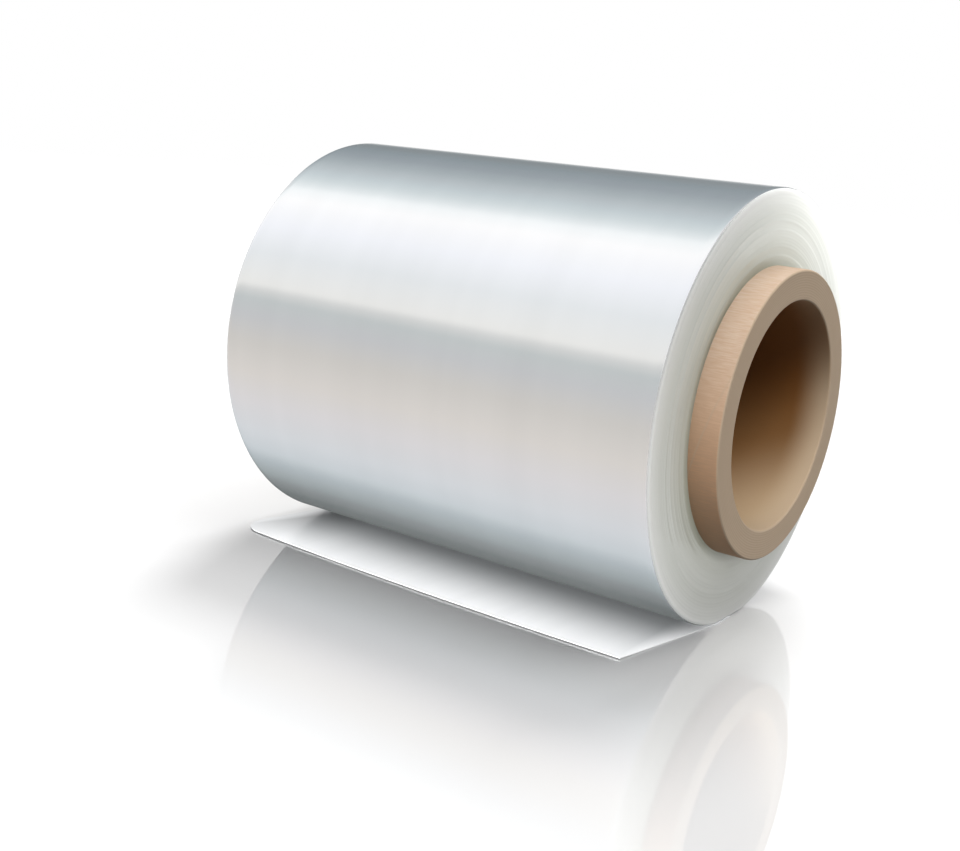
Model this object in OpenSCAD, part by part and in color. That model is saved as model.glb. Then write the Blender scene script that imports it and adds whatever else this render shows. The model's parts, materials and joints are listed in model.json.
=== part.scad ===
// Roll of clear wrapping film on a cardboard core, lying on its side with its end pulled loose.
// All sizes are in millimetres. X runs along the roll, Z is up and the loose end lies towards -Y.

/* [Film] */
// Diameter of the whole wound roll
roll_d = 146; // [120:1:240]
// Width of the film, which is the length of the wound part
web_w = 172; // [80:1:400]
// Thickness drawn for the outermost turn and the loose end
turn_t = 0.4; // [0.2:0.1:1]

/* [Turns seen on the ends] */
// Depth of the last turns, which follow the spiral out to the loose end
last_turns_t = 2.4; // [2:0.2:4]
// Bands of turns that can be told apart on each end
bands = 12; // [4:1:16]
// How far a band of turns may stray to one side
band_stray = 0.6; // [0.2:0.1:1]

/* [Core] */
// Bore of the cardboard core
core_bore_d = 76.2; // [50:0.1:90]
// Wall of the cardboard core
core_wall = 10; // [4:0.5:15]
// Length of core that stands out at each end of the film
core_overhang = 10; // [4:1:40]
// Width of the worn edge at each rim of the core
core_edge = 0.6; // [0.2:0.1:1.5]

/* [Resting] */
// Width of the flat spot that the roll lies on
flat_w = 18; // [14:1:24]

/* [Loose end] */
// Distance from below the roll's axis to the near corner of the free edge
tail_reach = 60; // [48:1:80]
// Angle of the free edge to the roll, which brings its far corner closer in
tail_slant = 1.3; // [0:0.1:3]
// Angle by which the loose end is pulled askew, towards the far end
tail_skew = 10; // [0:1:25]
// How far the middle of the free edge bows out
tail_bow = 2; // [0:0.5:5]
// Radius of the rounded corner at the far end
tail_corner_r = 12; // [4:1:20]
// Length at the free edge that curls off the surface
curl_len = 20; // [6:1:28]
// Radius of that curl, which the film keeps from being wound
curl_r = 110; // [70:5:200]

/* [Hidden] */
$fn = 144;

roll_r = roll_d / 2;
core_bore_r = core_bore_d / 2;
core_r = core_bore_r + core_wall;
core_len = web_w + 2 * core_overhang;
// The roll's weight lowers its axis until the flat spot is flat_w wide.
axis_z = sqrt(pow(roll_r, 2) - pow(flat_w / 2, 2));
last_turns_r = roll_r - last_turns_t;
band_h = (last_turns_r - core_r) / bands;
// The last turns are sunk this far into the bands, so that the two are one body.
seat = 0.2;
golden_angle = 137.508;
nip_y = -flat_w / 2;
curl_y = curl_len - tail_reach;
tail_end_y = -tail_reach - tail_bow;
// Directions square to the free edge and to the far side edge, towards the middle of the sheet.
edge_in = [sin(tail_slant), cos(tail_slant)];
side_in = [cos(tail_skew), -sin(tail_skew)];
edge_steps = 12;
corner_steps = 8;
core_color = [0.74, 0.60, 0.47];
film_color = [0.86, 0.88, 0.90];

// Sideways place of a band of turns. It wanders from band to band and never repeats.
function band_shift(k) = band_stray / 2 * sin(k * golden_angle);

// Sideways place of one side edge of the loose end, at distance y in front of the axis.
function tail_side(side, y) = side * web_w / 2 + (y - nip_y) * tan(tail_skew);

// Where the free edge would meet the far side edge, if that corner weren't rounded.
function sharp_far_corner() = let(
    nearer = web_w * tan(tail_slant) / (1 + tan(tail_skew) * tan(tail_slant)),
    y = nearer - tail_reach
) [tail_side(-1, y), y];

// Middle of the rounded far corner, which touches both the free edge and the side edge.
function far_corner_middle() =
    sharp_far_corner() + tail_corner_r * (edge_in + side_in) / (1 + edge_in * side_in);

// Points of the free edge, from the near corner to the start of the rounded far corner.
function free_edge() = let(
    start = [tail_side(1, -tail_reach), -tail_reach],
    end = far_corner_middle() - tail_corner_r * edge_in
) [
    for (i = [0 : edge_steps])
        let(u = i / edge_steps)
            start + (end - start) * u - [0, tail_bow * 4 * u * (1 - u)]
];

// Points of the rounded far corner, from the free edge round to the side edge.
function far_corner() = [
    for (i = [1 : corner_steps])
        let(a = -90 - tail_slant - (90 + tail_skew - tail_slant) * i / corner_steps)
            far_corner_middle() + tail_corner_r * [cos(a), sin(a)]
];

// Turns a half section, drawn as radius and height, about the roll's axis.
module around_roll_axis() {
    translate([0, 0, axis_z])
        rotate([0, 90, 0])
            rotate_extrude()
                children();
}

// Runs an outline, drawn as Y and Z, along the roll for the length w.
module along_roll(w) {
    translate([-w / 2, 0, 0])
        rotate([90, 0, 90])
            linear_extrude(height = w)
                children();
}

// One half of a disc: side 1 is the back half, side -1 the front half.
module half_disc(r, side) {
    intersection() {
        circle(r);
        translate([side > 0 ? 0 : -2 * r, -2 * r])
            square([2 * r, 4 * r]);
    }
}

// Outline of the last turns. The front half is half a thickness smaller and sits half a
// thickness higher, so the two halves are level at the top and step by one thickness below.
module last_turns_outline() {
    intersection() {
        difference() {
            union() {
                translate([0, axis_z])
                    half_disc(roll_r, 1);
                translate([0, axis_z + turn_t / 2])
                    half_disc(roll_r - turn_t / 2, -1);
            }
            translate([0, axis_z])
                circle(last_turns_r - seat);
        }
        translate([-roll_r - 1, 0])
            square([2 * roll_r + 2, 2 * roll_r + 2]);
    }
}

// Outline of the loose end: flat on the surface, then curling up at its free edge.
module loose_end_outline() {
    translate([curl_y, 0])
        square([-curl_y, turn_t]);
    intersection() {
        translate([curl_y, curl_r])
            difference() {
                circle(curl_r);
                circle(curl_r - turn_t);
            }
        translate([tail_end_y - 1, 0])
            square([curl_y - tail_end_y + 1, curl_r / 2]);
    }
}

// Shape of the loose end seen from above.
module loose_end_plan() {
    polygon(concat(
        [[tail_side(-1, nip_y), 0], [tail_side(1, nip_y), 0], [tail_side(1, nip_y), nip_y]],
        free_edge(),
        far_corner(),
        [[tail_side(-1, nip_y), nip_y]]
    ));
}

// Bands of turns between the core and the last turns, each strayed a little to one side.
module banded_turns() {
    near = [
        for (k = [0 : bands - 1])
            for (side = [0, 1])
                [core_r + (k + side) * band_h, web_w / 2 + band_shift(k)]
    ];
    far = [
        for (k = [bands - 1 : -1 : 0])
            for (side = [1, 0])
                [core_r + (k + side) * band_h, -web_w / 2 + band_shift(k)]
    ];
    around_roll_axis()
        polygon(concat(near, far));
}

module last_turns() {
    along_roll(web_w)
        last_turns_outline();
}

module loose_end() {
    intersection() {
        along_roll(3 * web_w)
            loose_end_outline();
        linear_extrude(height = curl_r)
            loose_end_plan();
    }
}

module core() {
    half = core_len / 2;
    color(core_color)
        around_roll_axis()
            polygon([
                [core_bore_r, -half + core_edge],
                [core_bore_r + core_edge, -half],
                [core_r - core_edge, -half],
                [core_r, -half + core_edge],
                [core_r, half - core_edge],
                [core_r - core_edge, half],
                [core_bore_r + core_edge, half],
                [core_bore_r, half - core_edge]
            ]);
}

module film() {
    color(film_color)
        union() {
            banded_turns();
            last_turns();
            loose_end();
        }
}

core();
film();
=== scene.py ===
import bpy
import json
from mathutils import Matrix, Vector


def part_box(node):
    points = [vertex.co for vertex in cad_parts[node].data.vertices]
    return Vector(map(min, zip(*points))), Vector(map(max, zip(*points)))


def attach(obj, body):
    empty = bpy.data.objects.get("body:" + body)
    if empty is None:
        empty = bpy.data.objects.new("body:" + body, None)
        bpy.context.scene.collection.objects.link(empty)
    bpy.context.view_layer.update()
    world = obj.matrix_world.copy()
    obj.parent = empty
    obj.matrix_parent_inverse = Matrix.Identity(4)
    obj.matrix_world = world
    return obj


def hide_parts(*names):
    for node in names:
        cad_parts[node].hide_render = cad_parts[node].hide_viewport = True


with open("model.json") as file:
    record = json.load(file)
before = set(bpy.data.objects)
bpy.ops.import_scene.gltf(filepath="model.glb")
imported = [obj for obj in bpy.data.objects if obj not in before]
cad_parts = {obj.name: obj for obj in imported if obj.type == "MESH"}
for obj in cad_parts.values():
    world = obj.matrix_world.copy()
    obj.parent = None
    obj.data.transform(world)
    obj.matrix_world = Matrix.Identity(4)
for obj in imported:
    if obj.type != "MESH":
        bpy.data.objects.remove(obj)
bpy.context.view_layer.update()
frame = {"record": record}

import json
import logging
import math
from dataclasses import dataclass
from enum import Enum

import bpy
from mathutils import Matrix, Vector, noise

# Roll of clear wrapping film on a cardboard core, lying on its side with its end pulled loose.
# All lengths are in metres. X runs along the roll, Z is up and the loose end lies towards -Y.

LOG = logging.getLogger("wrapping_film_roll")
BODY = "root"
MM = 0.001
PHOTO_WIDTH = 960
# Edges that turn by more than this stay sharp, and points closer than this are one.
SHARP_FROM = math.radians(35)
WELD = 0.001 * MM

Colour = tuple[float, float, float]
Place = tuple[float, float, float]
Profile = list[tuple[float, float]]


def srgb(red: int, green: int, blue: int) -> Colour:
    """Turn a colour read off the picture into the linear one that a shader takes.

    Args:
        red: Red, from 0 to 255.
        green: Green, from 0 to 255.
        blue: Blue, from 0 to 255.

    Returns:
        The same colour as three linear parts.
    """
    parts = (red / 255, green / 255, blue / 255)
    return tuple(c / 12.92 if c < 0.04045 else ((c + 0.055) / 1.055) ** 2.4 for c in parts)


def ease(value: float, low: float, high: float) -> float:
    """Rise smoothly from 0 at low to 1 at high.

    Args:
        value: The number to place between the two limits.
        low: Where the rise starts.
        high: Where the rise ends.

    Returns:
        A number from 0 to 1.
    """
    share = min(1.0, max(0.0, (value - low) / (high - low)))
    return share * share * (3 - 2 * share)


class Signal:
    """An output socket of a node tree. Arithmetic on it adds Math nodes to the same tree."""

    def __init__(self, graph: "Graph", socket: bpy.types.NodeSocket) -> None:
        """Keep the socket and the graph that it belongs to."""
        self.graph = graph
        self.socket = socket

    def __add__(self, other: "Number") -> "Signal":
        """Sum of the two."""
        return self.graph.math("ADD", self, other)

    def __radd__(self, other: "Number") -> "Signal":
        """Sum of the two."""
        return self.graph.math("ADD", other, self)

    def __sub__(self, other: "Number") -> "Signal":
        """What is left of this after the other."""
        return self.graph.math("SUBTRACT", self, other)

    def __rsub__(self, other: "Number") -> "Signal":
        """What is left of the other after this."""
        return self.graph.math("SUBTRACT", other, self)

    def __mul__(self, other: "Number") -> "Signal":
        """Product of the two."""
        return self.graph.math("MULTIPLY", self, other)

    def __rmul__(self, other: "Number") -> "Signal":
        """Product of the two."""
        return self.graph.math("MULTIPLY", other, self)

    def __neg__(self) -> "Signal":
        """This with its sign turned over."""
        return self.graph.math("SUBTRACT", 0, self)

    def __truediv__(self, other: "Number") -> "Signal":
        """This, shared by the other."""
        return self.graph.math("DIVIDE", self, other)

    def __rtruediv__(self, other: "Number") -> "Signal":
        """The other, shared by this."""
        return self.graph.math("DIVIDE", other, self)


Number = Signal | float | int
Fed = Signal | float | int | tuple | str | bpy.types.Material


class Graph:
    """A node tree that is written as expressions, for a finish or for a shape."""

    def __init__(self, tree: bpy.types.NodeTree) -> None:
        """Keep the tree that the nodes are added to."""
        self.tree = tree

    @staticmethod
    def socket_of(sockets: object, key: str | int) -> bpy.types.NodeSocket:
        """Find a socket by its place, its identifier or its name.

        Args:
            sockets: The inputs or the outputs of a node.
            key: The place, the identifier or the name of the socket.

        Returns:
            The first socket that fits.
        """
        if isinstance(key, int):
            return sockets[key]
        exact = [s for s in sockets if s.identifier == key]
        named = [s for s in sockets if s.name == key and s.enabled]
        return (exact or named)[0]

    def feed(self, socket: bpy.types.NodeSocket, value: Fed) -> None:
        """Link a signal to a socket, or set the socket's own value.

        Args:
            socket: The input socket.
            value: A signal, a number, a colour, a vector, a word or a material.
        """
        if isinstance(value, Signal):
            self.tree.links.new(value.socket, socket)
        elif isinstance(value, tuple) and len(value) == 3 and socket.type == "RGBA":
            socket.default_value = (*value, 1.0)
        else:
            socket.default_value = value

    def add(
        self, kind: str, settings: dict | None = None, values: dict | None = None
    ) -> bpy.types.Node:
        """Add one node: its settings first, then the values or links of its sockets.

        Args:
            kind: The node's type.
            settings: The node's own options. "stops" are a colour ramp's (place, colour) pairs.
            values: What each input socket holds or is linked to.

        Returns:
            The new node.
        """
        node = self.tree.nodes.new(kind)
        for name, setting in (settings or {}).items():
            if name == "stops":
                self.set_stops(node.color_ramp, setting)
            else:
                setattr(node, name, setting)
        self.fill(node, values or {})
        return node

    def fill(self, node: bpy.types.Node, values: dict) -> None:
        """Link or set several input sockets of a node.

        Args:
            node: The node.
            values: What each input socket holds or is linked to.
        """
        for key, value in values.items():
            self.feed(self.socket_of(node.inputs, key), value)

    def read(
        self,
        kind: str,
        output: str | int,
        settings: dict | None = None,
        values: dict | None = None,
    ) -> Signal:
        """Add one node and return one of its outputs as a signal.

        Args:
            kind: The node's type.
            output: The output to read.
            settings: The node's own options.
            values: What each input socket holds or is linked to.

        Returns:
            The output, as a signal.
        """
        node = self.add(kind, settings, values)
        return Signal(self, self.socket_of(node.outputs, output))

    @staticmethod
    def set_stops(ramp: bpy.types.ColorRamp, stops: list[tuple[float, Colour]]) -> None:
        """Put a colour ramp's stops in place.

        Args:
            ramp: The ramp.
            stops: Places from 0 to 1, each with its colour.
        """
        while len(ramp.elements) < len(stops):
            ramp.elements.new(1.0)
        for element, (place, colour) in zip(ramp.elements, stops):
            element.position = place
            element.color = (*colour, 1.0)

    def math(self, operation: str, *terms: Number) -> Signal:
        """Add a Math node for one operation on numbers.

        Args:
            operation: The Math node's operation.
            terms: Its one, two or three numbers.

        Returns:
            The result.
        """
        values = dict(enumerate(terms))
        return self.read("ShaderNodeMath", 0, {"operation": operation}, values)

    def span(self, value: Signal, low: Number, high: Number, smooth: bool = True) -> Signal:
        """Rise from 0 at low to 1 at high.

        Args:
            value: The signal to place between the limits.
            low: Where the rise starts.
            high: Where the rise ends.
            smooth: Whether the rise is eased at both ends.

        Returns:
            A signal from 0 to 1.
        """
        settings = {"interpolation_type": "SMOOTHSTEP" if smooth else "LINEAR"}
        values = {"Value": value, "From Min": low, "From Max": high}
        return self.read("ShaderNodeMapRange", "Result", settings, values)

    def mix(self, share: Number, first: Signal | Colour, second: Signal | Colour) -> Signal:
        """Mix two colours.

        Args:
            share: How much of the second colour shows.
            first: The colour at share 0.
            second: The colour at share 1.

        Returns:
            The mixed colour.
        """
        values = {"Factor_Float": share, "A_Color": first, "B_Color": second}
        return self.read("ShaderNodeMix", "Result_Color", {"data_type": "RGBA"}, values)

    def split(self, vector: Signal) -> tuple[Signal, Signal, Signal]:
        """Take a vector apart.

        Args:
            vector: The vector signal.

        Returns:
            Its X, Y and Z.
        """
        node = self.add("ShaderNodeSeparateXYZ", values={0: vector})
        return tuple(Signal(self, socket) for socket in node.outputs)

    def distance(self, first: Signal, second: Signal) -> Signal:
        """Distance of a place from the origin of a plane.

        Args:
            first: Its first coordinate.
            second: Its second coordinate.

        Returns:
            The distance.
        """
        return self.math("SQRT", first * first + second * second)

    def join(self, x: Number, y: Number, z: Number) -> Signal:
        """Put a vector together.

        Args:
            x: Its X.
            y: Its Y.
            z: Its Z.

        Returns:
            The vector signal.
        """
        return self.read("ShaderNodeCombineXYZ", 0, values={0: x, 1: y, 2: z})

    def speckle(self, place: Signal, scale: float, detail: float = 2.0) -> Signal:
        """Soft random values over a place.

        Args:
            place: The vector that the pattern lies on.
            scale: Its fineness.
            detail: How many finer layers it has.

        Returns:
            A signal from 0 to 1.
        """
        values = {"Vector": place, "Scale": scale, "Detail": detail}
        return self.read("ShaderNodeTexNoise", 0, values=values)


def empty_material(name: str) -> tuple[bpy.types.Material, Graph]:
    """Start a material without any node.

    Args:
        name: The material's name.

    Returns:
        The material and the graph to write it in.
    """
    material = bpy.data.materials.new(name)
    material.use_nodes = True
    material.node_tree.nodes.clear()
    return material, Graph(material.node_tree)


def new_finish(name: str) -> tuple[bpy.types.Material, Graph, bpy.types.Node]:
    """Start a material with its shader and its output joined.

    Args:
        name: The material's name.

    Returns:
        The material, the graph to write it in and its Principled shader.
    """
    material, graph = empty_material(name)
    shader = graph.add("ShaderNodeBsdfPrincipled")
    graph.add("ShaderNodeOutputMaterial", values={"Surface": Signal(graph, shader.outputs[0])})
    return material, graph, shader


@dataclass(frozen=True)
class RollPlace:
    """Where the roll lies and how big it is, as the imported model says."""

    axis_z: float
    radius: float
    core_radius: float
    bore_radius: float
    core_length: float
    web_width: float = 172 * MM

    @classmethod
    def from_frame(cls) -> "RollPlace":
        """Read the sizes from the frame.

        Returns:
            The place and the sizes of the roll.
        """
        core_low, core_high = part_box("core")
        film_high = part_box("film")[1]
        bore = next(m for m in frame["record"]["mounts"] if m["name"] == "core_bore")
        axis_z = (core_low.z + core_high.z) / 2
        return cls(
            axis_z=axis_z,
            radius=film_high.z - axis_z,
            core_radius=(core_high.z - core_low.z) / 2,
            bore_radius=bore["dims"]["r_mm"] * MM,
            core_length=core_high.x - core_low.x,
        )


@dataclass(frozen=True)
class FilmFinish:
    """Clear glossy film in many turns: silvery on the roll, milky green-grey on its cut ends, which
    carry painted shade next to the core and a painted highlight along the rim.
    """

    place: RollPlace
    rim: float
    silver: Colour = srgb(231, 231, 232)
    silver_shade: Colour = srgb(228, 228, 229)
    # Cut-end tones from the core out: painted shade next to the core, then the film's own tone,
    # which deepens towards the core partly as painted shade, then a painted highlight along the
    # rim.
    core_painted_shade: Colour = srgb(158, 162, 148)
    near_core: Colour = srgb(190, 193, 183)
    mid_end: Colour = srgb(205, 207, 200)
    near_rim: Colour = srgb(228, 229, 225)
    rim_painted_highlight: Colour = srgb(250, 251, 249)
    end_steps: tuple[tuple[float, float, Colour], ...] = (
        (0.0, 0.16, near_core),
        (0.1, 0.5, mid_end),
        (0.6, 1.0, near_rim),
        (0.9, 1.0, rim_painted_highlight),
    )
    line_depth: float = 0.06
    line_scale: float = 900.0
    hoop_scale: float = 60.0
    cloud_scale: float = 14.0
    ior: float = 1.49
    metallic: float = 0.8
    roughness: float = 0.09
    end_roughness: float = 0.42
    coat: float = 0.4
    coat_roughness: float = 0.05

    def end_colour(self, graph: Graph, across: Signal, lines: Signal) -> Signal:
        """Colour of the cut ends, which pales from the core out to the rim: partly the film's own
        tone, with painted shade next to the core and a painted highlight at the rim.

        Args:
            graph: The graph to write in.
            across: Place between the core, 0, and the rim, 1.
            lines: Random values that differ from turn to turn.

        Returns:
            The colour.
        """
        # Starts from painted shade next to the core and ends in a painted highlight at the rim.
        colour = self.core_painted_shade
        for low, high, paler in self.end_steps:
            colour = graph.mix(graph.span(across, low, high), colour, paler)
        darker = graph.mix(self.line_depth, colour, self.near_core)
        return graph.mix(graph.span(lines, 0.3, 0.7), darker, colour)

    def material(self) -> bpy.types.Material:
        """Write the finish.

        Returns:
            The material.
        """
        material, graph, shader = new_finish("clear_film")
        place = graph.read("ShaderNodeTexCoord", "Object")
        x, y, z = graph.split(place)
        height = z - self.place.axis_z
        radius = graph.distance(y, height)
        wound = self.place.radius - self.place.core_radius
        across = (radius - self.place.core_radius) / wound
        half = self.place.web_width / 2
        along = graph.math("ABSOLUTE", x)
        on_end = graph.span(along, half - 0.5 * self.rim, half - 0.15 * self.rim)
        lines = graph.join(radius * self.line_scale, y * 3, height * 3)
        lines = graph.speckle(lines, 1.0, 3.0)
        hoops = graph.speckle(graph.join(x * self.hoop_scale, y * 2, height * 2), 1.0, 2.0)
        cloud = graph.speckle(place, self.cloud_scale)
        barrel = graph.mix(graph.span(hoops, 0.3, 0.7), self.silver_shade, self.silver)
        colour = graph.mix(on_end, barrel, self.end_colour(graph, across, lines))
        rough_barrel = self.roughness + 0.015 * (hoops - 0.5) + 0.02 * (cloud - 0.5)
        rough_end = self.end_roughness + 0.2 * (lines - 0.5)
        height_map = lines * on_end + hoops * (1 - on_end) * 0.15
        bump = {"Strength": 0.25, "Distance": 0.1 * MM, "Height": height_map}
        values = {
            "Base Color": colour,
            "Metallic": self.metallic * (1 - on_end),
            "Roughness": rough_barrel + on_end * (rough_end - rough_barrel),
            "Coat Weight": self.coat * (1 - 0.75 * on_end),
            "Coat Roughness": self.coat_roughness,
            "IOR": self.ior,
            "Normal": graph.read("ShaderNodeBump", 0, values=bump),
        }
        graph.fill(shader, values)
        return material


@dataclass(frozen=True)
class LooseEndFinish:
    """The single thickness of film that lies on the surface: glossy, with painted shade under the
    roll and painted light towards all of its cut edges.
    """

    place: RollPlace
    sheet: "LooseEnd"
    milky: Colour = srgb(250, 251, 252)
    # Painted shade where the film lies under the roll; the film turns to the milky colour as
    # painted light towards its cut edges.
    painted_roll_shade: Colour = srgb(176, 179, 181)
    ior: float = 1.49
    metallic: float = 0.05
    roughness: float = 0.3
    coat: float = 0.15
    coat_roughness: float = 0.1
    painted_light_side_reach: float = 10 * MM
    painted_light_front_reach: float = 36 * MM
    # Painted shade on the film beyond the roll's far end.
    far_shade: Colour = srgb(112, 114, 116)
    far_reach: tuple[float, float] = (56 * MM, 92 * MM)
    streak_depth: float = 0.06
    streak_scale: tuple[float, float] = (160.0, 9.0)
    cloud_scale: float = 22.0

    def painted_edge_light(self, graph: Graph, x: Signal, y: Signal) -> Signal:
        """Share of painted light on the film: none under the roll, where its painted shade shows,
        and full out at all of its cut edges.

        Args:
            graph: The graph to write in.
            x: Place along the roll.
            y: Place in front of the axis.

        Returns:
            A signal from 0 to 1.
        """
        sheet, half = self.sheet, self.place.web_width / 2
        askew = graph.math("MINIMUM", y - sheet.nip_y, 0.0) * math.tan(sheet.skew)
        from_side = half - graph.math("ABSOLUTE", x - askew)
        near_x = half + (-sheet.reach - sheet.nip_y) * math.tan(sheet.skew)
        from_edge = y + sheet.reach - (near_x - x) * math.tan(sheet.slant)
        outwards = 1 - graph.span(from_edge, 0.0, self.painted_light_front_reach, smooth=False)
        sidewards = 1 - graph.span(from_side, 0.0, self.painted_light_side_reach)
        return graph.math("MAXIMUM", outwards, sidewards)

    def material(self) -> bpy.types.Material:
        """Write the finish.

        Returns:
            The material.
        """
        material, graph, shader = new_finish("loose_film")
        place = graph.read("ShaderNodeTexCoord", "Object")
        x, y, z = graph.split(place)
        fine, coarse = self.streak_scale
        streaks = graph.speckle(graph.join(x * fine, y * coarse, 0.0), 1.0, 2.0)
        cloud = graph.speckle(place, self.cloud_scale)
        pale = self.painted_edge_light(graph, x, y)
        # Painted shade beyond the roll's far end, also over the pale part.
        far = graph.span(-x, *self.far_reach)
        under = graph.mix(far, self.painted_roll_shade, self.far_shade)
        milky = graph.mix(far * 0.5, self.milky, self.painted_roll_shade)
        # Painted shade under the roll, painted light out to the cut edges.
        colour = graph.mix(pale, under, milky)
        darker = graph.mix(self.streak_depth, colour, self.painted_roll_shade)
        bump = {"Strength": 0.12, "Distance": 0.1 * MM, "Height": streaks}
        values = {
            "Base Color": graph.mix(graph.span(streaks, 0.3, 0.7), darker, colour),
            "Metallic": self.metallic,
            "Roughness": self.roughness + 0.1 * (cloud - 0.5),
            "Coat Weight": self.coat,
            "Coat Roughness": self.coat_roughness,
            "IOR": self.ior,
            "Normal": graph.read("ShaderNodeBump", 0, values=bump),
        }
        graph.fill(shader, values)
        return material


@dataclass(frozen=True)
class CoreBoardFinish:
    """Kraft board of a spiral-wound core, with its fibres, seams and plies, and painted light and
    shade: darker low on the outside wall, darker deep in and high up in the bore, and paler just
    inside its lower rim.
    """

    place: RollPlace
    wall: Colour = srgb(192, 174, 157)
    # Painted shade: the outside wall darkens from the wall colour at its top to this one low down.
    wall_painted_low_shade: Colour = srgb(191, 151, 119)
    wall_shade: Colour = srgb(172, 142, 115)
    wall_shade_rise: tuple[float, float] = (-15 * MM, 42 * MM)
    cut: Colour = srgb(186, 166, 143)
    cut_shade: Colour = srgb(176, 155, 132)
    # The bore's own board colour; the next three are painted shade deep in and painted light just
    # inside the rim.
    bore: Colour = srgb(191, 166, 134)
    bore_painted_deep_shade: Colour = srgb(126, 80, 35)
    bore_painted_low_shade: Colour = srgb(126, 90, 54)
    bore_painted_rim_light: Colour = srgb(189, 167, 140)
    bore_rim_reach: float = 13 * MM
    bore_rim_fades: tuple[float, float] = (0.0, 28 * MM)
    bore_rim_loss: float = 0.6
    bore_shade_depths: tuple[float, float] = (-90 * MM, -12 * MM)
    bore_slope: float = 2.26
    bore_shade_heights: tuple[float, float] = (-20 * MM, 12 * MM)
    fibre_scale: tuple[float, float] = (240.0, 900.0)
    mottle_scale: float = 45.0
    ior: float = 1.45
    roughness: float = 0.72
    strip_pitch: float = 90 * MM
    seam: float = 0.006
    ply: float = 0.8 * MM

    def material(self) -> bpy.types.Material:
        """Write the finish.

        Returns:
            The material.
        """
        material, graph, shader = new_finish("core_board")
        place = graph.read("ShaderNodeTexCoord", "Object")
        x, y, z = graph.split(place)
        height = z - self.place.axis_z
        radius = graph.distance(y, height)
        turn = graph.math("ARCTAN2", height, y) / math.tau
        half = self.place.core_length / 2
        on_cut = graph.span(graph.math("ABSOLUTE", x), half - 0.5 * MM, half - 0.2 * MM)
        middle = (self.place.bore_radius + self.place.core_radius) / 2
        in_bore = 1 - graph.span(radius, middle - 0.1 * MM, middle + 0.1 * MM)
        fine, finest = self.fibre_scale
        fibres = graph.speckle(graph.join(x * fine, turn * finest, radius * fine), 1.0, 4.0)
        mottle = graph.speckle(place, self.mottle_scale, 3.0)
        plies = graph.math("SINE", radius * (math.tau / self.ply)) * 0.5 + 0.5
        along = graph.math("FRACT", x / self.strip_pitch + turn)
        seam = 1 - graph.span(graph.math("ABSOLUTE", along - 0.5), 0.0, self.seam)
        # Painted shade: the outside wall is darker low down.
        clean = graph.mix(graph.span(height, *self.wall_shade_rise), self.wall_painted_low_shade, self.wall)
        fibrous = graph.mix(0.6, clean, self.wall_shade)
        wall = graph.mix(graph.span(fibres, 0.3, 0.72), fibrous, clean)
        wall = graph.mix(0.35 * graph.span(mottle, 0.35, 0.7), wall, self.wall_shade)
        wall = graph.mix(0.5 * seam, wall, self.cut_shade)
        cut = graph.mix(0.6 * plies + 0.4 * fibres, self.cut_shade, self.cut)
        # Painted shade in the bore: darker deeper in and higher up.
        inwards = half - graph.math("ABSOLUTE", x)
        dim = graph.span(inwards + height * self.bore_slope, *self.bore_shade_depths)
        deep = graph.mix(graph.span(height, *self.bore_shade_heights), self.bore_painted_low_shade, self.bore_painted_deep_shade)
        bore = graph.mix(dim, self.bore, deep)
        # Painted light just inside the bore's rim, strongest low down.
        at_rim = 1 - graph.span(inwards, 0.0, self.bore_rim_reach)
        at_rim = at_rim * (1 - self.bore_rim_loss * graph.span(height, *self.bore_rim_fades))
        bore = graph.mix(at_rim, bore, self.bore_painted_rim_light)
        colour = graph.mix(on_cut, graph.mix(in_bore, wall, bore), cut)
        relief = fibres * 0.4 + mottle * 0.3 - seam * 0.8 + plies * on_cut * 0.5
        bump = {"Strength": 0.35, "Distance": 0.15 * MM, "Height": relief}
        values = {
            "Base Color": colour,
            "Roughness": self.roughness + 0.16 * (fibres - 0.5),
            "IOR": self.ior,
            "Normal": graph.read("ShaderNodeBump", 0, values=bump),
        }
        graph.fill(shader, values)
        return material


def mesh_piece(
    name: str,
    points: list[Vector],
    faces: list[tuple[int, ...]],
    material: bpy.types.Material,
) -> bpy.types.Object:
    """Make a smooth-shaded piece from points and faces, at the origin.

    Args:
        name: The piece's name.
        points: Its points, in the model's own place.
        faces: Its faces, each turned outwards.
        material: Its finish.

    Returns:
        The new object.
    """
    mesh = bpy.data.meshes.new(name)
    mesh.from_pydata([tuple(p) for p in points], [], faces)
    mesh.materials.append(material)
    mesh.polygons.foreach_set("use_smooth", [True] * len(mesh.polygons))
    mesh.set_sharp_from_angle(angle=SHARP_FROM)
    mesh.validate()
    piece = bpy.data.objects.new(name, mesh)
    bpy.context.scene.collection.objects.link(piece)
    return piece


class RollEnd(Enum):
    """The two cut ends of the roll."""

    NEAR = 1
    FAR = -1


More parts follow.
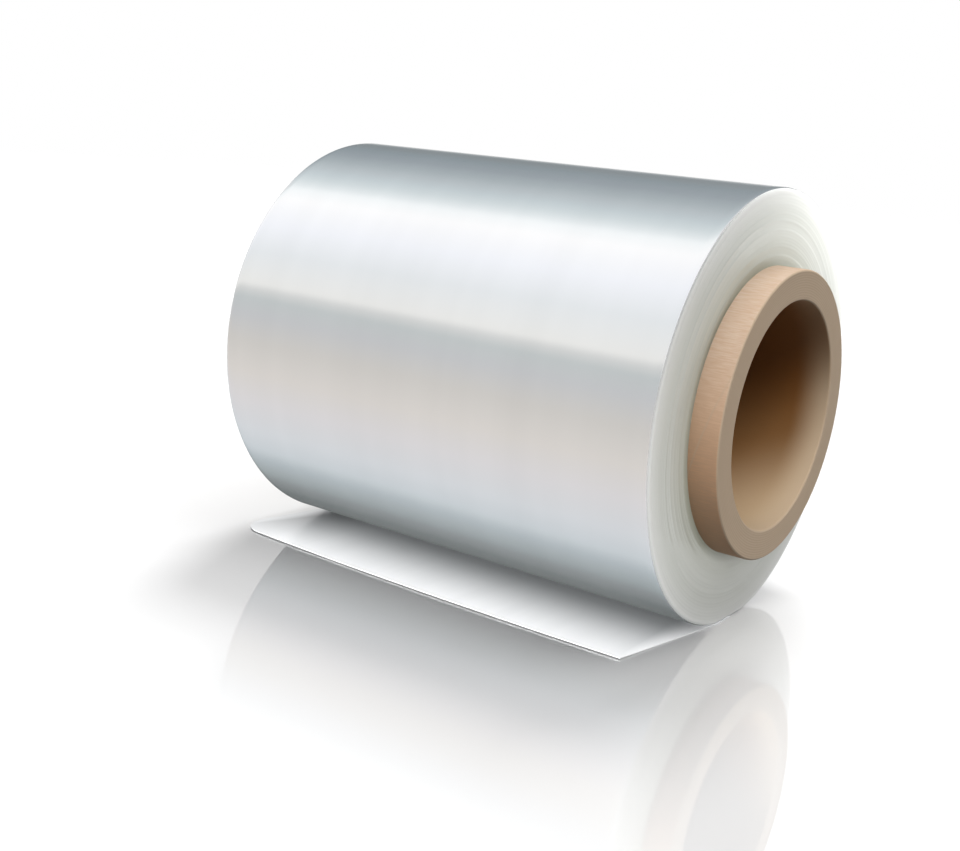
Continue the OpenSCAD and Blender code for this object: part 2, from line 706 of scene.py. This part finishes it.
class WoundFilmTree:
    """Geometry Nodes tree of the wound film: spiral turns on both ends, barrel and bore."""

    SIZES = (
        "Radius",
        "Core Radius",
        "Web Width",
        "Axis Height",
        "Film Thickness",
        "Rim Rounding",
        "Turn Stray",
        "Turn Groove",
        "Gauge Bands",
        "Sharp Angle",
    )
    COUNTS = ("Columns", "Turns", "Rows per Turn", "Barrel Rows", "Rim Rows", "Seed")
    # Random values per turn of the film and per metre of the barrel, and between two seeds.
    STRAY_RATE = 0.61
    HOOP_RATE = 140
    SEED_STEP = 31.7
    # How much of a turn or of a row still counts as none.
    TINY_TURN = 0.0001
    TINY_ROW = 0.001

    def __init__(self) -> None:
        """Build the tree with its named inputs."""
        self.tree = bpy.data.node_groups.new("wound_film", "GeometryNodeTree")
        interface = self.tree.interface
        interface.new_socket("Geometry", in_out="OUTPUT", socket_type="NodeSocketGeometry")
        for name in self.SIZES:
            interface.new_socket(name, in_out="INPUT", socket_type="NodeSocketFloat")
        for name in self.COUNTS:
            interface.new_socket(name, in_out="INPUT", socket_type="NodeSocketInt")
        interface.new_socket("Material", in_out="INPUT", socket_type="NodeSocketMaterial")
        self.graph = Graph(self.tree)
        given = self.graph.add("NodeGroupInput")
        self.given = {s.name: Signal(self.graph, s) for s in given.outputs if s.name}
        self.turn_pitch = (self.given["Radius"] - self.given["Core Radius"]) / self.given["Turns"]
        self.finish()

    def sheet_of(self, columns: Number, rows: Number) -> tuple[Signal, Signal, Signal]:
        """A flat grid to be wrapped round the roll.

        Args:
            columns: Its faces round the roll.
            rows: Its faces across.

        Returns:
            The grid, the share of a turn at each point, and the row number of each point.
        """
        graph = self.graph
        values = {"Size X": 1.0, "Size Y": 1.0, "Vertices X": columns + 1, "Vertices Y": rows + 1}
        grid = graph.read("GeometryNodeMeshGrid", "Mesh", values=values)
        across, along, _ = graph.split(graph.read("GeometryNodeInputPosition", 0))
        row = graph.math("ROUND", (along + 0.5) * rows)
        return grid, across + 0.5, row

    def outside_radius(self, share: Signal) -> Signal:
        """Radius of the roll, which is less where it lies on its flat spot.

        Args:
            share: Share of a turn, from the bottom, up the front and down the back.

        Returns:
            The radius there.
        """
        graph = self.graph
        down = graph.math("COSINE", share * math.tau)
        on_front = graph.math("GREATER_THAN", share, self.TINY_TURN)
        on_front = on_front * graph.math("LESS_THAN", share, 0.5)
        drop = self.given["Axis Height"] - on_front * self.given["Film Thickness"]
        reach = drop / graph.math("MAXIMUM", down, 0.01)
        return graph.math("MINIMUM", self.given["Radius"], reach)

    def wrap(self, grid: Signal, x: Number, radius: Signal, share: Signal, flip: bool) -> Signal:
        """Lay a grid round the roll's axis.

        Args:
            grid: The flat grid.
            x: Place along the roll.
            radius: Distance from the axis.
            share: Share of a turn, from the bottom, up the front and down the back.
            flip: Whether the faces are turned over, so that they point outwards.

        Returns:
            The wrapped grid.
        """
        graph = self.graph
        angle = share * math.tau
        y = radius * graph.math("SINE", angle) * -1
        z = self.given["Axis Height"] - radius * graph.math("COSINE", angle)
        values = {"Geometry": grid, "Position": graph.join(x, y, z)}
        wrapped = graph.read("GeometryNodeSetPosition", 0, values=values)
        return graph.read("GeometryNodeFlipFaces", 0, values={0: wrapped}) if flip else wrapped

    def wander(self, along: Signal, seed: Number) -> Signal:
        """Smooth random values along one line.

        Args:
            along: Place on the line.
            seed: Which line of values is used.

        Returns:
            A signal from about -1 to 1.
        """
        settings = {"noise_dimensions": "1D"}
        values = {"W": along + seed * self.SEED_STEP, "Scale": 1.0, "Detail": 1.0}
        return self.graph.read("ShaderNodeTexNoise", 0, settings, values) * 4 - 2

    def cut_end(self, end: RollEnd) -> Signal:
        """One end of the roll, where each turn of the film strays a little to one side.

        Args:
            end: Which end.

        Returns:
            The end's faces.
        """
        graph, given = self.graph, self.given
        per_turn = given["Rows per Turn"]
        grid, share, row = self.sheet_of(given["Columns"], (given["Turns"] + 1) * per_turn)
        turn = graph.math("FLOOR", row / per_turn + self.TINY_ROW)
        on_line = graph.math("LESS_THAN", row / per_turn - turn, 10 * self.TINY_ROW)
        spiral = given["Core Radius"] + self.turn_pitch * (row / per_turn + share - 1)
        outer = self.outside_radius(share) - given["Rim Rounding"]
        radius = graph.math("MINIMUM", graph.math("MAXIMUM", spiral, given["Core Radius"]), outer)
        fade = graph.span(outer - radius, 0.0, self.turn_pitch)
        fade = fade * graph.span(radius - given["Core Radius"], 0.0, self.turn_pitch)
        stray = self.wander((turn + share) * self.STRAY_RATE, given["Seed"] + end.value)
        proud = (stray * given["Turn Stray"] - on_line * given["Turn Groove"]) * fade
        x = (given["Web Width"] / 2 + proud) * end.value
        return self.wrap(grid, x, radius, share, flip=end is RollEnd.FAR)

    def barrel(self) -> Signal:
        """The round outside, with softly rounded rims and the slight hoops of uneven gauge.

        Returns:
            The barrel's faces.
        """
        graph, given = self.graph, self.given
        rim, rim_rows = given["Rim Rounding"], given["Rim Rows"]
        rows = given["Barrel Rows"] + rim_rows * 2
        grid, share, row = self.sheet_of(given["Columns"], rows)
        quarter = math.pi / 2
        far_turn = graph.span(row, 0.0, rim_rows, smooth=False) * quarter
        near_turn = graph.span(rows - row, 0.0, rim_rows, smooth=False) * quarter
        body = graph.span(row, rim_rows, rows - rim_rows, smooth=False)
        x = body * (given["Web Width"] - rim * 2) - given["Web Width"] / 2
        x = x + rim * (1 - graph.math("COSINE", far_turn)) + rim * graph.math("COSINE", near_turn)
        drop = rim * (2 - graph.math("SINE", far_turn) - graph.math("SINE", near_turn))
        hoops = self.wander(x * self.HOOP_RATE, given["Seed"]) * given["Gauge Bands"]
        inside = graph.span(body * (1 - body), 0.0, 0.02)
        outside = self.outside_radius(share)
        lying = graph.span(given["Radius"] - outside, 0.0, 0.01 * MM)
        radius = outside - drop + hoops * inside * (1 - lying)
        return self.wrap(grid, x, radius, share, flip=True)

    def bore(self) -> Signal:
        """The film's inside, wound on the core.

        Returns:
            The bore's faces.
        """
        grid, share, row = self.sheet_of(self.given["Columns"], 1)
        x = (row - 0.5) * self.given["Web Width"]
        return self.wrap(grid, x, self.given["Core Radius"], share, flip=False)

    def finish(self) -> None:
        """Join the parts, close their seams, shade them smooth and give them their material."""
        graph = self.graph
        joined = graph.add("GeometryNodeJoinGeometry")
        parts = [self.bore(), self.barrel(), *(self.cut_end(end) for end in RollEnd)]
        for part in parts:
            graph.feed(joined.inputs[0], part)
        values = {0: Signal(graph, joined.outputs[0]), "Distance": WELD}
        welded = graph.read("GeometryNodeMergeByDistance", 0, values=values)
        smooth = graph.read("GeometryNodeSetShadeSmooth", 0, values={0: welded})
        turned = graph.read("GeometryNodeInputMeshEdgeAngle", "Unsigned Angle")
        values = {
            0: smooth,
            "Selection": graph.math("GREATER_THAN", turned, self.given["Sharp Angle"]),
            "Shade Smooth": False,
        }
        creased = graph.read("GeometryNodeSetShadeSmooth", 0, {"domain": "EDGE"}, values)
        real = graph.read("GeometryNodeRealizeInstances", 0, values={0: creased})
        values = {"Geometry": real, "Material": self.given["Material"]}
        dressed = graph.read("GeometryNodeSetMaterial", 0, values=values)
        graph.add("NodeGroupOutput", values={0: dressed})


@dataclass
class FilmRoll:
    """The wound film, which shows its outermost turn and the edges of all the others."""

    place: RollPlace
    film_thickness: float = 0.3 * MM
    rim: float = 1.0 * MM
    turn_stray: float = 0.08 * MM
    turn_groove: float = 0.05 * MM
    gauge_bands: float = 0.015 * MM
    sharp_angle: float = math.radians(40)
    columns: int = 240
    turns: int = 24
    rows_per_turn: int = 3
    barrel_rows: int = 72
    rim_rows: int = 4
    seed: int = 7

    def build(self) -> bpy.types.Object:
        """Make the wound film as one closed mesh.

        Returns:
            The piece, dressed and riding on the roll's body.
        """
        material = FilmFinish(self.place, self.rim).material()
        tree = WoundFilmTree().tree
        carrier = bpy.data.objects.new("film_roll_shape", bpy.data.meshes.new("film_roll_shape"))
        bpy.context.scene.collection.objects.link(carrier)
        modifier = carrier.modifiers.new("wound_film", "NODES")
        modifier.node_group = tree
        for name, value in self.inputs(material).items():
            modifier[self.identifier(tree, name)] = value
        graph = bpy.context.evaluated_depsgraph_get()
        mesh = bpy.data.meshes.new_from_object(carrier.evaluated_get(graph))
        carrier.modifiers.remove(modifier)
        bpy.data.objects.remove(carrier)
        mesh.name = "film_roll"
        piece = bpy.data.objects.new("film_roll", mesh)
        bpy.context.scene.collection.objects.link(piece)
        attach(piece, BODY)
        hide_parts("film")
        return piece

    def inputs(self, material: bpy.types.Material) -> dict:
        """What each named input of the tree is set to.

        Args:
            material: The film's finish.

        Returns:
            The value of each input.
        """
        return {
            "Radius": self.place.radius,
            "Core Radius": self.place.core_radius,
            "Web Width": self.place.web_width,
            "Axis Height": self.place.axis_z,
            "Film Thickness": self.film_thickness,
            "Rim Rounding": self.rim,
            "Turn Stray": self.turn_stray,
            "Turn Groove": self.turn_groove,
            "Gauge Bands": self.gauge_bands,
            "Sharp Angle": self.sharp_angle,
            "Columns": self.columns,
            "Turns": self.turns,
            "Rows per Turn": self.rows_per_turn,
            "Barrel Rows": self.barrel_rows,
            "Rim Rows": self.rim_rows,
            "Seed": self.seed,
            "Material": material,
        }

    @staticmethod
    def identifier(tree: bpy.types.NodeTree, name: str) -> str:
        """Identifier of a named input of a tree."""
        sockets = tree.interface.items_tree
        return next(s.identifier for s in sockets if s.name == name and s.in_out == "INPUT")


@dataclass
class LooseEnd:
    """The free end of the film, pulled askew on the surface, with a curl at its edge."""

    place: RollPlace
    thickness: float = 0.25 * MM
    nip_y: float = -9 * MM
    reach: float = 60 * MM
    slant: float = math.radians(1.3)
    skew: float = math.radians(10)
    bow: float = 2 * MM
    corner: float = 12 * MM
    curl_length: float = 20 * MM
    curl_radius: float = 800 * MM
    corner_lift: float = 0.15 * MM
    corner_lift_reach: float = 60 * MM
    ripple: float = 0.05 * MM
    ripple_scale: tuple[float, float] = (55.0, 30.0)
    ripple_seed: float = 4.2
    free_from: float = 0.25
    crowding: float = 0.12
    rows: int = 44
    columns: int = 150

    def side(self, half: float, y: float) -> float:
        """Place across of one side edge, at a distance in front of the axis."""
        return half + min(0.0, y - self.nip_y) * math.tan(self.skew)

    def column_share(self, column: int) -> float:
        """Share of the width at a column, with more columns at the rounded far corner."""
        share = column / self.columns
        return share + self.crowding * math.sin(math.pi * share) * share

    def ground_point(self, row: int, column: int) -> tuple[float, float]:
        """Place of one point of the sheet seen from above.

        Args:
            row: Row from under the roll, 0, to the free edge.
            column: Column from the near side, 0, to the far side.

        Returns:
            Its X and Y.
        """
        across = self.column_share(column)
        half = self.place.web_width / 2
        inside = min((1 - across) * self.place.web_width, self.corner)
        missing = self.corner - inside
        cut = self.corner - math.sqrt(max(0.0, self.corner**2 - missing**2))
        nearer = self.place.web_width * math.tan(self.slant) * across
        bowed = self.reach - nearer + self.bow * 4 * across * (1 - across)
        y = -(bowed - cut) * row / self.rows
        near, far = self.side(half, y), self.side(-half, y)
        return near + (far - near) * across, y

    def lift(self, x: float, y: float) -> float:
        """Height of the sheet's underside above the surface.

        Args:
            x: Place along the roll.
            y: Place in front of the axis.

        Returns:
            The height.
        """
        beyond = max(0.0, self.curl_length - self.reach - y)
        curl = self.curl_radius - math.sqrt(self.curl_radius**2 - beyond**2)
        corner = Vector((self.side(-self.place.web_width / 2, -self.reach), -self.reach))
        away = (Vector((x, y)) - corner).length
        free = ease(-y, self.free_from * self.reach, self.reach)
        raised = self.corner_lift * (1 - ease(away, 0.0, self.corner_lift_reach)) * free
        along, outwards = self.ripple_scale
        wave = noise.noise(Vector((x * along, y * outwards, self.ripple_seed)))
        return curl + raised + self.ripple * free * (1 + wave)

    def build(self) -> bpy.types.Object:
        """Make the loose end as one thin closed sheet.

        Returns:
            The piece, dressed and riding on the roll's body.
        """
        wide = self.columns + 1
        places = [
            self.ground_point(row, column)
            for row in range(self.rows + 1)
            for column in range(wide)
        ]
        lower = [Vector((x, y, self.lift(x, y))) for x, y in places]
        upper = [point + Vector((0, 0, self.thickness)) for point in lower]
        count = len(lower)
        faces = []
        for row in range(self.rows):
            for column in range(self.columns):
                a = row * wide + column
                b, c, d = a + 1, a + wide + 1, a + wide
                faces.append((a, b, c, d))
                faces.append((count + d, count + c, count + b, count + a))
        last = self.rows * wide
        outline = list(range(wide))
        outline += [row * wide + self.columns for row in range(1, self.rows + 1)]
        outline += [last + column for column in range(self.columns - 1, -1, -1)]
        outline += [row * wide for row in range(self.rows - 1, 0, -1)]
        for here, there in zip(outline, outline[1:] + outline[:1]):
            faces.append((there, here, count + here, count + there))
        material = LooseEndFinish(self.place, self).material()
        piece = mesh_piece("loose_end", lower + upper, faces, material)
        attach(piece, BODY)
        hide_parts("film")
        flat = (self.place.web_width, self.reach + self.bow)
        return piece


@dataclass
class CoreTube:
    """The cardboard core, open right through, with worn rims and plies on its cut ends."""

    place: RollPlace
    edge: float = 0.7 * MM
    edge_steps: int = 4
    plies: int = 12
    ply_relief: float = 0.05 * MM
    wall_rows: int = 8
    columns: int = 192

    def cut_profile(self) -> Profile:
        """Half outline of one cut end, from the bore's rim to the outer rim.

        Returns:
            Pairs of distance in from the cut and radius.
        """
        inner, outer = self.place.bore_radius, self.place.core_radius
        turns = [math.pi / 2 * k / self.edge_steps for k in range(self.edge_steps + 1)]
        profile = [
            (self.edge * (1 - math.sin(a)), inner + self.edge * (1 - math.cos(a))) for a in turns
        ]
        face = outer - inner - 2 * self.edge
        for k in range(1, 2 * self.plies):
            depth = self.ply_relief if k % 2 else 0.0
            profile.append((depth, inner + self.edge + face * k / (2 * self.plies)))
        profile += [
            (self.edge * (1 - math.cos(a)), outer - self.edge * (1 - math.sin(a))) for a in turns
        ]
        return profile

    def outline(self) -> Profile:
        """Closed outline of the wall, as place along and radius.

        Returns:
            The outline, round from the near cut over the outside to the far cut and the bore.
        """
        half = self.place.core_length / 2
        cut = self.cut_profile()
        near = [(half - depth, radius) for depth, radius in cut]
        far = [(depth - half, radius) for depth, radius in reversed(cut)]
        steps = [k / self.wall_rows for k in range(1, self.wall_rows)]
        span = half - self.edge
        outside = [(span - 2 * span * s, self.place.core_radius) for s in steps]
        inside = [(2 * span * s - span, self.place.bore_radius) for s in steps]
        return near + outside + far + inside

    def build(self) -> bpy.types.Object:
        """Turn the outline about the roll's axis.

        Returns:
            The piece, dressed and riding on the roll's body.
        """
        outline = self.outline()
        points = []
        for column in range(self.columns):
            angle = math.tau * column / self.columns
            for x, radius in outline:
                y, z = radius * math.cos(angle), radius * math.sin(angle)
                points.append(Vector((x, y, self.place.axis_z + z)))
        tall = len(outline)
        faces = []
        for column in range(self.columns):
            here, there = column * tall, (column + 1) % self.columns * tall
            for k in range(tall):
                n = (k + 1) % tall
                faces.append((here + k, here + n, there + n, there + k))
        material = CoreBoardFinish(self.place).material()
        piece = mesh_piece("core_tube", points, faces, material)
        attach(piece, BODY)
        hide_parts("core")
        return piece


@dataclass(frozen=True)
class MirrorCard:
    """Tone of the studio at one angle round the roll, from the front horizon over the top.

    The cards that lie on the floor in front say how far above it they hang.
    """

    angle: float
    tone: Colour
    above_floor: float = 2 * MM


MIRROR_CARDS = (
    MirrorCard(-77.0, (0.112, 0.122, 0.122), 0.4 * MM),
    MirrorCard(-72.0, (0.112, 0.122, 0.122), 0.6 * MM),
    MirrorCard(-65.0, (0.126, 0.142, 0.142), 1.0 * MM),
    MirrorCard(-59.0, (0.215, 0.235, 0.24), 1.6 * MM),
    MirrorCard(-55.0, (0.305, 0.345, 0.35), 2.4 * MM),
    MirrorCard(-50.0, (0.415, 0.465, 0.485), 3.0 * MM),
    MirrorCard(-46.0, (0.57, 0.615, 0.642), 3.0 * MM),
    MirrorCard(-40.0, (0.655, 0.68, 0.703)),
    MirrorCard(-30.0, (0.694, 0.676, 0.68)),
    MirrorCard(-20.0, (0.683, 0.648, 0.61)),
    MirrorCard(-7.0, (0.60, 0.578, 0.545)),
    MirrorCard(8.0, (0.53, 0.54, 0.55)),
    MirrorCard(18.0, (0.51, 0.545, 0.545)),
    MirrorCard(23.0, (0.63, 0.64, 0.63)),
    MirrorCard(27.0, (0.825, 0.825, 0.80)),
    MirrorCard(46.0, (0.78, 0.81, 0.825)),
    MirrorCard(64.0, (0.895, 0.915, 0.955)),
    MirrorCard(84.0, (0.985, 0.985, 0.985)),
    MirrorCard(92.6, (0.89, 0.925, 0.93)),
    MirrorCard(99.9, (0.59, 0.655, 0.67)),
    MirrorCard(104.2, (0.48, 0.545, 0.57)),
    MirrorCard(108.8, (0.40, 0.45, 0.472)),
    MirrorCard(113.9, (0.30, 0.35, 0.37)),
    MirrorCard(119.9, (0.22, 0.26, 0.285)),
    MirrorCard(127.6, (0.17, 0.21, 0.23)),
    MirrorCard(133.2, (0.16, 0.185, 0.195)),
)


@dataclass(frozen=True)
class FarLamp:
    """A large soft lamp far away. Its spread is its width seen from the roll, in degrees."""

    name: str
    towards: Place
    level: float
    spread: float
    lit: tuple[str, ...]


@dataclass(frozen=True)
class NearLamp:
    """A small soft lamp close to the roll's near end, placed from the middle of that end."""

    name: str
    away: Place
    level: float
    lit: tuple[str, ...] = ("film_roll",)


FAR_LAMPS = (
    FarLamp("back_lamp", (-0.15, 0.53, 0.83), 0.63, 22.0, ("floor",)),
    FarLamp("right_lamp", (0.34, 0.1, 0.94), 0.39, 44.0, ("floor",)),
    FarLamp("crown_lamp", (-0.15, 0.53, 0.83), 0.52, 22.0, ("film_roll", "core_tube")),
    FarLamp("edge_lamp", (0.15, -0.7, 0.7), 1.28, 60.0, ("loose_end",)),
    FarLamp("nip_lamp", (0.1, -1.0, 0.2), 1.2, 16.0, ("loose_end",)),
    FarLamp("face_lamp", (1.0, -0.1, 0.3), 0.10, 150.0, ("film_roll",)),
    FarLamp("far_lamp", (-1.0, -0.2, 0.4), 0.5, 120.0, ("film_roll", "core_tube")),
    FarLamp("wall_lamp", (0.0, -1.0, 0.8), 0.40, 40.0, ("core_tube",)),
    FarLamp("bore_lamp", (0.7, -0.45, 1.0), 0.82, 30.0, ("core_tube",)),
)
NEAR_LAMPS = (
    NearLamp("top_lamp", (50 * MM, 60 * MM, 100 * MM), 0.58),
    NearLamp("left_lamp", (80 * MM, -60 * MM, -20 * MM), 0.43),
    NearLamp("rim_lamp", (40 * MM, 110 * MM, 20 * MM), 0.24),
)


@dataclass
class Studio:
    """Pale floor, white backdrop, soft lamps and the cards that the film mirrors."""

    place: RollPlace
    card_level: float = 1.405
    azimuth: float = math.radians(34.674)
    elevation: float = math.radians(13.693)
    roll: float = math.radians(4.413)
    distance: float = 509 * MM
    target: Place = (-23.9 * MM, 0.0, 45.1 * MM)
    focal_pixels: float = 1340.35
    sensor: float = 36.0
    floor_half: float = 14.0
    floor_drop: float = 0.1 * MM
    floor_roughness: float = 0.008
    floor_mirror: float = 0.29
    floor_mirror_far: float = 0.12
    floor_mirror_fade: tuple[float, float] = (135 * MM, 205 * MM)
    floor_mirror_behind: tuple[float, float] = (-900 * MM, -300 * MM)
    floor_lift: float = 0.09
    floor_far_lift: float = 0.3
    floor_far: tuple[float, float] = (0.5, 1.0)
    floor_end: tuple[float, float] = (1.0, 2.4)
    fill_light: float = 0.15
    near_lamp_size: float = 60 * MM
    tent_radius: float = 1.0
    tent_half: float = 3.0
    tent_steps: int = 240
    tent_from: float = -77.0
    tent_to: float = 150.0
    tent_back: float = 107 * MM
    tent_back_left: float = 80 * MM
    tent_back_flare: float = 0.8
    tent_back_right: float = 70 * MM
    tent_soft: float = 0.2
    tent_soft_from: float = 136.0

    def camera(self) -> None:
        """Stand the camera where the picture was taken from."""
        az, el = self.azimuth, self.elevation
        back = Vector((math.sin(az) * math.cos(el), -math.cos(az) * math.cos(el), math.sin(el)))
        right = Vector((math.cos(az), math.sin(az), 0))
        up = back.cross(right)
        across = math.cos(self.roll) * right + math.sin(self.roll) * up
        upward = math.cos(self.roll) * up - math.sin(self.roll) * right
        lens = bpy.data.cameras.new("picture_camera")
        lens.sensor_width = self.sensor
        lens.lens = self.focal_pixels * self.sensor / PHOTO_WIDTH
        lens.clip_start = 0.01
        lens.clip_end = 100.0
        camera = bpy.data.objects.new("picture_camera", lens)
        turn = Matrix((across, upward, back)).transposed()
        camera.matrix_world = Matrix.LocRotScale(
            Vector(self.target) + back * self.distance, turn.to_quaternion(), None
        )
        bpy.context.scene.collection.objects.link(camera)
        bpy.context.scene.camera = camera

    def world(self) -> None:
        """White to the camera and in mirrors, and an even soft light everywhere else."""
        world = bpy.data.worlds.new("studio")
        world.use_nodes = True
        world.node_tree.nodes.clear()
        graph = Graph(world.node_tree)
        rays = graph.add("ShaderNodeLightPath")
        seen = self.seen(graph, rays)
        level = self.fill_light + (1 - self.fill_light) * seen
        values = {"Color": (1.0, 1.0, 1.0), "Strength": level}
        sky = graph.read("ShaderNodeBackground", 0, values=values)
        graph.add("ShaderNodeOutputWorld", values={"Surface": sky})
        bpy.context.scene.world = world

    @staticmethod
    def seen(graph: Graph, rays: bpy.types.Node) -> Signal:
        """Tell a look by the camera, a mirror or a glass from the light itself.

        Args:
            graph: The graph to write in.
            rays: The Light Path node.

        Returns:
            1 for camera, glossy and transmission rays, and 0 for the rest, which carry light.
        """
        camera = Signal(graph, rays.outputs["Is Camera Ray"])
        glossy = Signal(graph, rays.outputs["Is Glossy Ray"])
        through = Signal(graph, rays.outputs["Is Transmission Ray"])
        look = graph.math("MAXIMUM", camera, graph.math("MAXIMUM", glossy, through))
        return look * graph.math("LESS_THAN", Signal(graph, rays.outputs["Diffuse Depth"]), 0.5)

    def floor(self) -> None:
        """Pale floor, white where no shadow falls. It mirrors the roll faintly, mostly in front."""
        material, graph = empty_material("floor")
        rays = graph.add("ShaderNodeLightPath")
        x, y, _ = graph.split(graph.read("ShaderNodeTexCoord", "Object"))
        off = graph.distance(x, y)
        lift = self.floor_lift + self.floor_far_lift * graph.span(off, *self.floor_far)
        lift = lift * self.seen(graph, rays)
        in_front = -y
        fade = graph.span(in_front, *self.floor_mirror_fade)
        share = self.floor_mirror + (self.floor_mirror_far - self.floor_mirror) * fade
        share = share * graph.span(in_front, *self.floor_mirror_behind)
        white = (1.0, 1.0, 1.0)
        matt = graph.read("ShaderNodeBsdfDiffuse", 0, values={"Color": white})
        values = {"Color": white, "Roughness": self.floor_roughness}
        mirror = graph.read("ShaderNodeBsdfGlossy", 0, values=values)
        values = {0: share, 1: matt, 2: mirror}
        both = graph.read("ShaderNodeMixShader", 0, values=values)
        glow = graph.read("ShaderNodeEmission", 0, values={"Color": white, "Strength": lift})
        surface = graph.read("ShaderNodeAddShader", 0, values={0: both, 1: glow})
        away = graph.span(off, *self.floor_end)
        clear = graph.read("ShaderNodeBsdfTransparent", 0)
        ending = graph.read("ShaderNodeMixShader", 0, values={0: away, 1: surface, 2: clear})
        graph.add("ShaderNodeOutputMaterial", values={"Surface": ending})
        h, z = self.floor_half, -self.floor_drop
        points = [Vector(p) for p in ((-h, -h, z), (h, -h, z), (h, h, z), (-h, h, z))]
        floor = mesh_piece("floor", points, [(0, 1, 2, 3)], material)
        floor.visible_diffuse = False

    def tent(self) -> None:
        """Curved card that only mirrors see, from the floor in front over the roll to its back.

        Its tones are a grey floor, a softbox and a dark flag. Its back wall is narrow, and fades
        out at its sides and at its lower edge.
        """
        span = self.tent_to - self.tent_from
        places = [((card.angle - self.tent_from) / span, card.tone) for card in MIRROR_CARDS]
        material, graph = empty_material("mirror_cards")
        along, across, _ = graph.split(graph.read("ShaderNodeTexCoord", "UV"))
        card = graph.read("ShaderNodeValToRGB", 0, {"stops": places}, {"Fac": along})
        rays = graph.add("ShaderNodeLightPath")
        level = self.fill_light + (self.card_level - self.fill_light) * self.seen(graph, rays)
        values = {"Color": card, "Strength": level}
        glow = graph.read("ShaderNodeEmission", 0, values=values)
        solid = graph.span(graph.math("MINIMUM", across, 1 - across), 0.0, self.tent_soft)
        solid = solid * (1 - graph.span(along, (self.tent_soft_from - self.tent_from) / span, 1.0))
        solid = solid * (1 - graph.read("ShaderNodeNewGeometry", "Backfacing"))
        clear = graph.read("ShaderNodeBsdfTransparent", 0)
        surface = graph.read("ShaderNodeMixShader", 0, values={0: solid, 1: clear, 2: glow})
        graph.add("ShaderNodeOutputMaterial", values={"Surface": surface})
        points, faces = [], []
        for k in range(self.tent_steps + 1):
            angle = math.radians(self.tent_from + span * k / self.tent_steps)
            low = self.place.axis_z - self.above_floor(math.degrees(angle))
            to_floor = low / max(math.sin(-angle), 0.001)
            to_back = self.tent_back / max(-math.cos(angle), 0.001)
            reach = min(self.tent_radius, to_floor, to_back)
            y, z = -reach * math.cos(angle), self.place.axis_z + reach * math.sin(angle)
            left, right = -self.tent_half, self.tent_half
            if reach == to_back:
                left = -self.tent_back_left - self.tent_back_flare * z
                right = self.tent_back_right
                beyond = (right - left) * self.tent_soft / (1 - 2 * self.tent_soft)
                left, right = left - beyond, right + beyond
            points += [Vector((left, y, z)), Vector((right, y, z))]
        for k in range(self.tent_steps):
            a = 2 * k
            faces.append((a, a + 2, a + 3, a + 1))
        cards = mesh_piece("mirror_cards", points, faces, material)
        layer = cards.data.uv_layers.new(name="sweep")
        for loop in cards.data.loops:
            step = loop.vertex_index // 2
            layer.data[loop.index].uv = (step / self.tent_steps, loop.vertex_index % 2)
        cards.visible_camera = False
        cards.visible_diffuse = False
        cards.visible_transmission = False
        cards.visible_volume_scatter = False
        cards.visible_shadow = False

    @staticmethod
    def above_floor(angle: float) -> float:
        """Height above the floor at which the cards lie, at one angle below the horizon.

        Args:
            angle: Angle round the roll, in degrees.

        Returns:
            The height, taken between the cards on either side of that angle.
        """
        for first, second in zip(MIRROR_CARDS, MIRROR_CARDS[1:]):
            if angle <= second.angle:
                share = (angle - first.angle) / (second.angle - first.angle)
                return first.above_floor + (second.above_floor - first.above_floor) * share
        return MIRROR_CARDS[-1].above_floor

    @staticmethod
    def hang(name: str, light: bpy.types.Light, place: Matrix, lit: tuple[str, ...]) -> None:
        """Hang one lamp, which lights some objects only and isn't mirrored.

        Args:
            name: The lamp's name.
            light: Its light.
            place: Where it hangs and how it is turned.
            lit: Names of the objects that it lights.
        """
        lamp = bpy.data.objects.new(name, light)
        lamp.matrix_world = place
        lamp.visible_camera = False
        lamp.visible_glossy = False
        bpy.context.scene.collection.objects.link(lamp)
        receivers = bpy.data.collections.new("lit_by_" + name)
        for piece in lit:
            receivers.objects.link(bpy.data.objects[piece])
        lamp.light_linking.receiver_collection = receivers

    def lamps(self) -> None:
        """Hang every lamp. Its level is the brightness of a white surface that faces it."""
        for lamp in FAR_LAMPS:
            light = bpy.data.lights.new(lamp.name, "SUN")
            light.energy = lamp.level * math.pi
            light.angle = math.radians(lamp.spread)
            turn = Vector(lamp.towards).to_track_quat("Z", "Y").to_matrix().to_4x4()
            self.hang(lamp.name, light, turn, lamp.lit)
        end = Vector((self.place.web_width / 2, 0, self.place.axis_z))
        for lamp in NEAR_LAMPS:
            place = end + Vector(lamp.away)
            away = place - end
            light = bpy.data.lights.new(lamp.name, "AREA")
            light.size = self.near_lamp_size
            light.energy = lamp.level * math.pi**2 * away.length_squared
            turn = away.to_track_quat("Z", "Y")
            self.hang(lamp.name, light, Matrix.LocRotScale(place, turn, None), lamp.lit)

    def build(self) -> None:
        """Set up everything that isn't part of the object."""
        self.camera()
        self.world()
        self.floor()
        self.tent()
        self.lamps()
        bpy.context.scene.view_settings.view_transform = "Standard"


def main() -> None:
    """Build the roll's pieces and the studio, and log the triangle count of each piece."""
    logging.basicConfig(level=logging.INFO, format="%(message)s")
    place = RollPlace.from_frame()
    for maker in (FilmRoll(place), LooseEnd(place), CoreTube(place)):
        piece = maker.build()
        triangles = sum(len(face.vertices) - 2 for face in piece.data.polygons)
        LOG.info("%s: %d triangles", piece.name, triangles)
    Studio(place).build()


if __name__ == "__main__":
    main()
